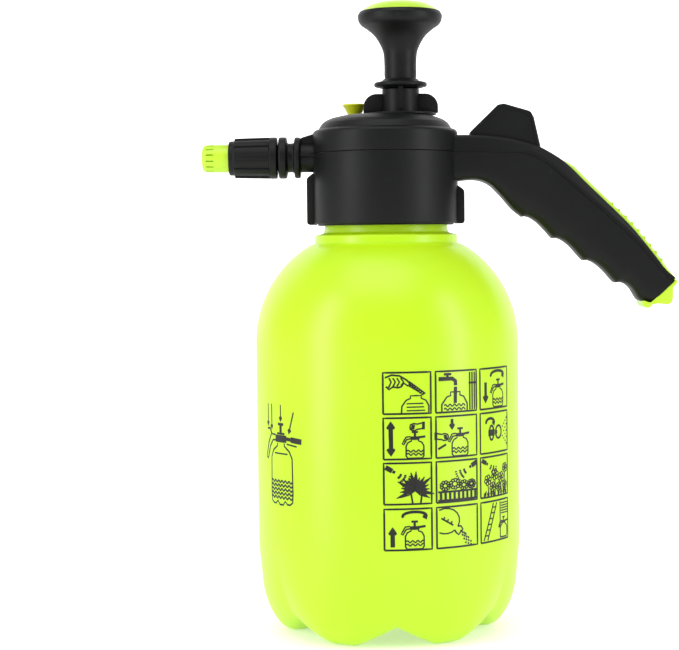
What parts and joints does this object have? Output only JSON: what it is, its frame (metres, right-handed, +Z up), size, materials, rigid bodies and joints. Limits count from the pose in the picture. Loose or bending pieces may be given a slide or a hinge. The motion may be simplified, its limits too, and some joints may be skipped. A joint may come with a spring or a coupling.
{
  "type": "pump sprayer",
  "caption": "Hand pump pressure sprayer: lime bottle with petal base, black screw-on head with pistol handle, thumb lever, plunger pump, relief knob and twist nozzle.",
  "frame": {"origin": "on the axis of the bottle, at the level of the floor that its feet stand on", "axes": "+Z up along the bottle's axis, +X toward the handle, so the nozzle points to -X"},
  "size_m": [0.2314, 0.128, 0.3058],
  "materials": {
    "bottle_plastic": "translucent blow-moulded polyethylene, satin",
    "seal_rubber": "matt black rubber",
    "black_plastic": "fine moulded satin black",
    "lime_plastic": "glossy lime polypropylene",
    "lime_grip": "soft lime rubber, matt",
    "screw_steel": "zinc-plated steel",
    "natural_plastic": "natural white polypropylene",
    "hose_rubber": "milky silicone rubber",
    "spring_steel": "bright spring steel"
  },
  "bodies": {
    "bottle": {"bottle": "bottle_plastic"},
    "neck_seal": {"neck_gasket": "seal_rubber"},
    "head": {"lower_shell": "black_plastic", "upper_shell": "black_plastic", "grip_insert": "lime_grip", "handle_end_cap": "lime_plastic", "shell_screws": "screw_steel", "pump_cylinder": "natural_plastic", "cylinder_seal": "seal_rubber", "rod_guide": "natural_plastic", "check_valve": "seal_rubber", "pump_cap": "black_plastic", "dip_tube": "natural_plastic", "dip_strainer": "natural_plastic", "tube_elbow": "natural_plastic", "feed_hose": "hose_rubber", "delivery_hose": "hose_rubber", "valve_body": "natural_plastic", "valve_gland": "natural_plastic", "valve_spring": "spring_steel", "trigger_pin": "spring_steel", "nozzle_spigot": "black_plastic", "nozzle_o_ring": "seal_rubber", "relief_spring": "spring_steel"},
    "pump": {"pump_rod": "black_plastic", "piston": "natural_plastic", "piston_seal": "seal_rubber", "piston_screw": "screw_steel", "pump_knob": "black_plastic", "knob_cap": "lime_plastic"},
    "trigger": {"trigger_lever": "black_plastic"},
    "valve_plunger": {"valve_stem": "natural_plastic", "stem_o_rings": "seal_rubber"},
    "swirl": {"swirl_insert": "natural_plastic"},
    "nozzle": {"nozzle_sleeve": "black_plastic", "nozzle_tip": "lime_plastic"},
    "relief": {"relief_knob": "lime_plastic", "relief_seal": "seal_rubber"}
  },
  "joints": [
    {"name": "head_lift", "type": "slide", "parent": "bottle", "child": "neck_seal", "axis": [0, 0, 1], "range_m": [0, 0.0127]},
    {"name": "head_turn", "type": "hinge", "parent": "neck_seal", "child": "head", "pos_m": [0, 0, 0.2], "axis": [0, 0, 1], "range_deg": [0, 900]},
    {"name": "pump_slide", "type": "slide", "parent": "head", "child": "pump", "axis": [0, 0, 1], "range_m": [0, 0.055]},
    {"name": "trigger_press", "type": "hinge", "parent": "head", "child": "trigger", "pos_m": [0.0425, 0, 0.2375], "axis": [0, 1, 0], "range_deg": [0, 8], "stiffness_Nm_per_rad": 0.3, "springref_deg": -4.58},
    {"name": "valve_push", "type": "slide", "parent": "head", "child": "valve_plunger", "axis": [0, 0, -1], "range_m": [0, 0.0034], "deforming": ["valve_spring"]},
    {"name": "relief_pull", "type": "slide", "parent": "head", "child": "relief", "axis": [0, 0, 1], "range_m": [0, 0.004], "stiffness_N_per_m": 200, "springref_m": -0.004, "deforming": ["relief_spring"]},
    {"name": "nozzle_advance", "type": "slide", "parent": "head", "child": "swirl", "axis": [-1, 0, 0], "range_m": [0, 0.003]},
    {"name": "nozzle_turn", "type": "hinge", "parent": "swirl", "child": "nozzle", "pos_m": [-0.08, 0, 0.2306], "axis": [-1, 0, 0], "range_deg": [0, 545]}
  ],
  "couplings": [
    {"joint": "head_lift", "follows": "head_turn", "m_per_rad": 0.00079577},
    {"joint": "valve_push", "follows": "trigger_press", "m_per_rad": 0.0235},
    {"joint": "nozzle_turn", "follows": "nozzle_advance", "rad_per_m": 3141.6}
  ]
}
